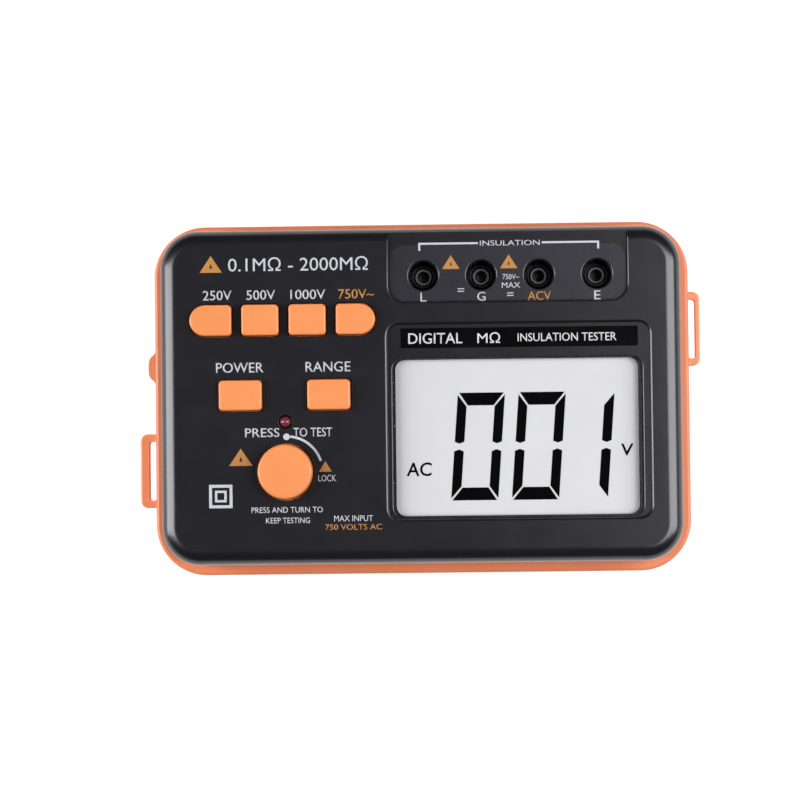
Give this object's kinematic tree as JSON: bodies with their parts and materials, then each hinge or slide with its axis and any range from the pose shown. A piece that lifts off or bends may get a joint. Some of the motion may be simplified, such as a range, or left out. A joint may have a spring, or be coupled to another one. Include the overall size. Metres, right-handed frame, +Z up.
{
  "type": "insulation resistance tester",
  "caption": "Hand-held insulation resistance tester with a large figure display, push keys, a press-and-turn test knob and shrouded terminals in a two-shell case.",
  "frame": {"origin": "centre of the footprint, on the plane the rubber feet stand on", "axes": "+X across the face to the right, +Y up the face towards the terminals, +Z up out of the face"},
  "size_m": [0.1576, 0.098, 0.071],
  "materials": {
    "case_black": "fine-textured black ABS, satin",
    "case_orange": "satin orange ABS",
    "key_orange": "light orange moulded plastic, satin",
    "plug_rubber": "matte orange rubber",
    "foot_rubber": "matte black rubber",
    "socket_black": "glossy black nylon",
    "brass": "plated brass",
    "screw_steel": "zinc-plated steel",
    "window_clear": "clear acrylic, polished",
    "lcd_glass": "pale grey display glass",
    "white_plastic": "white plastic",
    "zebra_rubber": "grey layered silicone",
    "board_green": "green solder mask",
    "inner_black": "black nylon",
    "cell_wrap": "plain dark wrap",
    "ferrite": "dark grey ferrite",
    "capacitor_blue": "blue lacquer",
    "lamp_red": "tinted clear red epoxy",
    "wire_red": "red silicone sleeving"
  },
  "bodies": {
    "casing": {"upper_cover": "case_black", "terminal_panel": "case_black", "lower_case": "case_orange", "strap_lug_left": "case_orange", "strap_lug_right": "case_orange", "case_screw_1": "screw_steel", "case_screw_2": "screw_steel", "case_screw_3": "screw_steel", "case_screw_4": "screw_steel", "foot_1": "foot_rubber", "foot_2": "foot_rubber", "foot_3": "foot_rubber", "foot_4": "foot_rubber", "adaptor_inlet": "inner_black", "battery_tray": "inner_black", "cell_1": "cell_wrap", "cell_2": "cell_wrap", "cell_3": "cell_wrap", "cell_4": "cell_wrap", "cell_5": "cell_wrap", "cell_6": "cell_wrap", "cell_7": "cell_wrap", "cell_8": "cell_wrap", "contact_strip_left": "screw_steel", "contact_strip_right": "screw_steel", "battery_lead": "wire_red", "main_board": "board_green", "hv_transformer": "ferrite", "hv_capacitor": "capacitor_blue", "buzzer": "inner_black", "lcd_window": "window_clear", "lcd_glass": "lcd_glass", "lcd_holder": "white_plastic", "lcd_zebra_strip": "zebra_rubber", "socket_sleeve_line": "socket_black", "socket_sleeve_guard": "socket_black", "socket_sleeve_volts": "socket_black", "socket_sleeve_earth": "socket_black", "socket_contact_line": "brass", "socket_contact_guard": "brass", "socket_contact_volts": "brass", "socket_contact_earth": "brass", "test_lamp": "lamp_red", "selector_switch_bank": "inner_black", "power_switch": "inner_black", "range_switch": "inner_black", "test_switch": "inner_black", "test_spring": "screw_steel"},
    "test_plunger": {"test_slider": "inner_black"},
    "test_knob": {"test_knob": "key_orange"},
    "select_key_250": {"select_key_250": "key_orange"},
    "select_key_500": {"select_key_500": "key_orange"},
    "select_key_1000": {"select_key_1000": "key_orange"},
    "select_key_ac": {"select_key_ac": "key_orange"},
    "power_key": {"power_key": "key_orange"},
    "range_key": {"range_key": "key_orange"},
    "battery_door": {"battery_door": "case_orange", "door_screw_left": "screw_steel", "door_screw_right": "screw_steel"},
    "inlet_plug": {"inlet_plug": "plug_rubber"}
  },
  "joints": [
    {"name": "test_press", "type": "slide", "parent": "casing", "child": "test_plunger", "axis": [0, 0, -1], "range_m": [0, 0.003], "stiffness_N_per_m": 300, "springref_m": -0.002, "deforming": ["test_spring"]},
    {"name": "test_turn", "type": "hinge", "parent": "test_plunger", "child": "test_knob", "pos_m": [-0.0371, -0.0206, 0.071], "axis": [0, 0, 1], "range_deg": [-70, 0]},
    {"name": "select_key_250_press", "type": "slide", "parent": "casing", "child": "select_key_250", "axis": [0, 0, -1], "range_m": [0, 0.0025], "stiffness_N_per_m": 200, "springref_m": -0.0015},
    {"name": "select_key_500_press", "type": "slide", "parent": "casing", "child": "select_key_500", "axis": [0, 0, -1], "range_m": [0, 0.0025], "stiffness_N_per_m": 200, "springref_m": -0.0015},
    {"name": "select_key_1000_press", "type": "slide", "parent": "casing", "child": "select_key_1000", "axis": [0, 0, -1], "range_m": [0, 0.0025], "stiffness_N_per_m": 200, "springref_m": -0.0015},
    {"name": "select_key_ac_press", "type": "slide", "parent": "casing", "child": "select_key_ac", "axis": [0, 0, -1], "range_m": [0, 0.0025], "stiffness_N_per_m": 200, "springref_m": -0.0015},
    {"name": "power_key_press", "type": "slide", "parent": "casing", "child": "power_key", "axis": [0, 0, -1], "range_m": [0, 0.0025], "stiffness_N_per_m": 200, "springref_m": -0.0015},
    {"name": "range_key_press", "type": "slide", "parent": "casing", "child": "range_key", "axis": [0, 0, -1], "range_m": [0, 0.0025], "stiffness_N_per_m": 200, "springref_m": -0.0015},
    {"name": "battery_door_lift", "type": "slide", "parent": "casing", "child": "battery_door", "axis": [0, 0, -1], "range_m": [0, 0.02]},
    {"name": "inlet_plug_pull", "type": "slide", "parent": "casing", "child": "inlet_plug", "axis": [-1, 0, 0], "range_m": [0, 0.012]}
  ]
}
